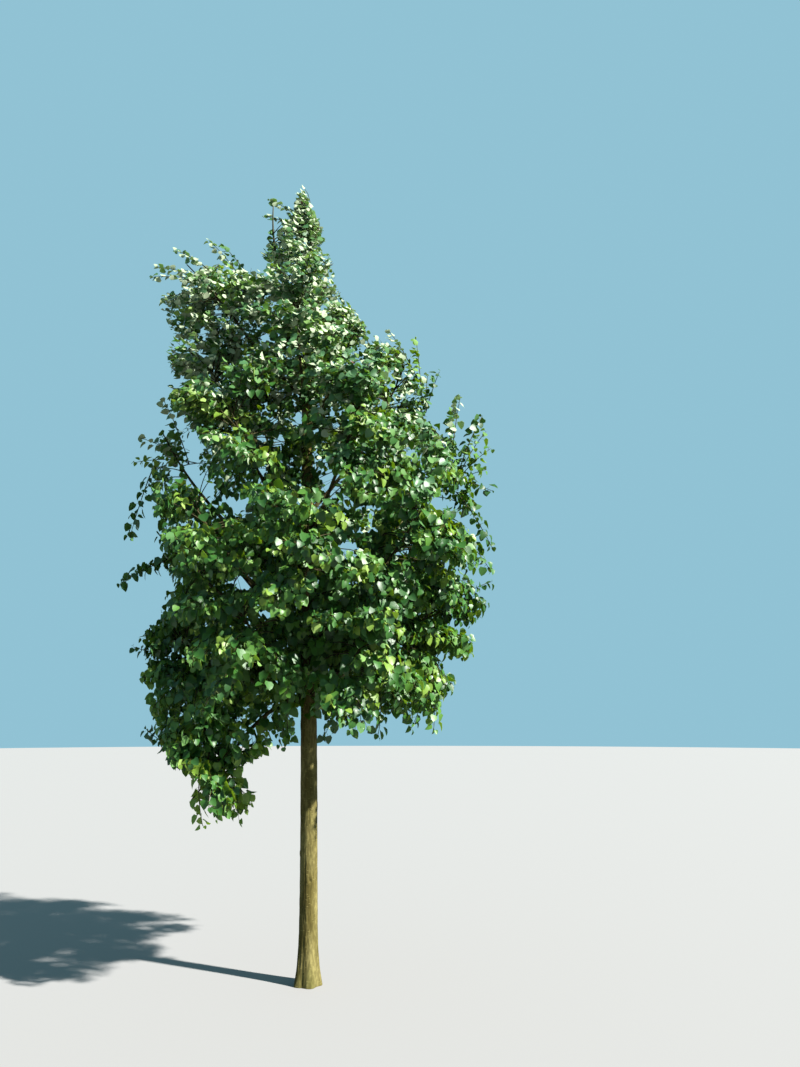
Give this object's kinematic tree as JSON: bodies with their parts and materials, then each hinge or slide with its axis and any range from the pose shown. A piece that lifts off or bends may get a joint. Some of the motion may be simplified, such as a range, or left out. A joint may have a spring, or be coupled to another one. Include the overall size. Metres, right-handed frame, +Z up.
{
  "type": "poplar tree",
  "caption": "Young broad-leaved tree in summer leaf: a clear leaning trunk cut flat at the ground, rising boughs and separate masses of leafy twigs.",
  "frame": {"origin": "middle of the flat cut under the trunk, at ground level", "axes": "+Z straight up, +Y away from the picture's camera, +X to the right in the picture"},
  "size_m": [2.66, 2.532, 5.7187],
  "materials": {
    "bark": "matt, smooth young bark",
    "leaves": "satin, living leaves"
  },
  "bodies": {
    "root": {"trunk": "bark", "bough_leader_side": "bark", "bough_upper_left": "bark", "bough_upper_front": "bark", "bough_upper_right": "bark", "bough_upper_back": "bark", "bough_mid_left": "bark", "bough_left_wing": "bark", "bough_right_shoulder": "bark", "bough_mid_front_right": "bark", "bough_mid_front_left": "bark", "bough_mid_back_left": "bark", "bough_mid_back_right": "bark", "bough_right": "bark", "bough_left": "bark", "bough_front": "bark", "bough_front_left": "bark", "bough_front_right": "bark", "bough_back": "bark", "bough_back_left": "bark", "bough_back_right": "bark", "bough_lower_right": "bark", "bough_lower_left": "bark", "bough_hanging_left": "bark", "bough_lower_front_left": "bark", "bough_lower_front_right": "bark", "bough_lower_back_left": "bark", "bough_lower_back": "bark", "bough_lower_back_right": "bark", "leaves_leader": "leaves", "leaves_leader_side": "leaves", "leaves_upper_left": "leaves", "leaves_upper_front": "leaves", "leaves_upper_right": "leaves", "leaves_upper_back": "leaves", "leaves_mid_left": "leaves", "leaves_left_wing": "leaves", "leaves_right_shoulder": "leaves", "leaves_mid_front_right": "leaves", "leaves_mid_front_left": "leaves", "leaves_mid_back_left": "leaves", "leaves_mid_back_right": "leaves", "leaves_right": "leaves", "leaves_left": "leaves", "leaves_front": "leaves", "leaves_front_left": "leaves", "leaves_front_right": "leaves", "leaves_back": "leaves", "leaves_back_left": "leaves", "leaves_back_right": "leaves", "leaves_lower_right": "leaves", "leaves_lower_left": "leaves", "leaves_hanging_left": "leaves", "leaves_lower_front_left": "leaves", "leaves_lower_front_right": "leaves", "leaves_lower_back_left": "leaves", "leaves_lower_back": "leaves", "leaves_lower_back_right": "leaves"}
  },
  "joints": []
}
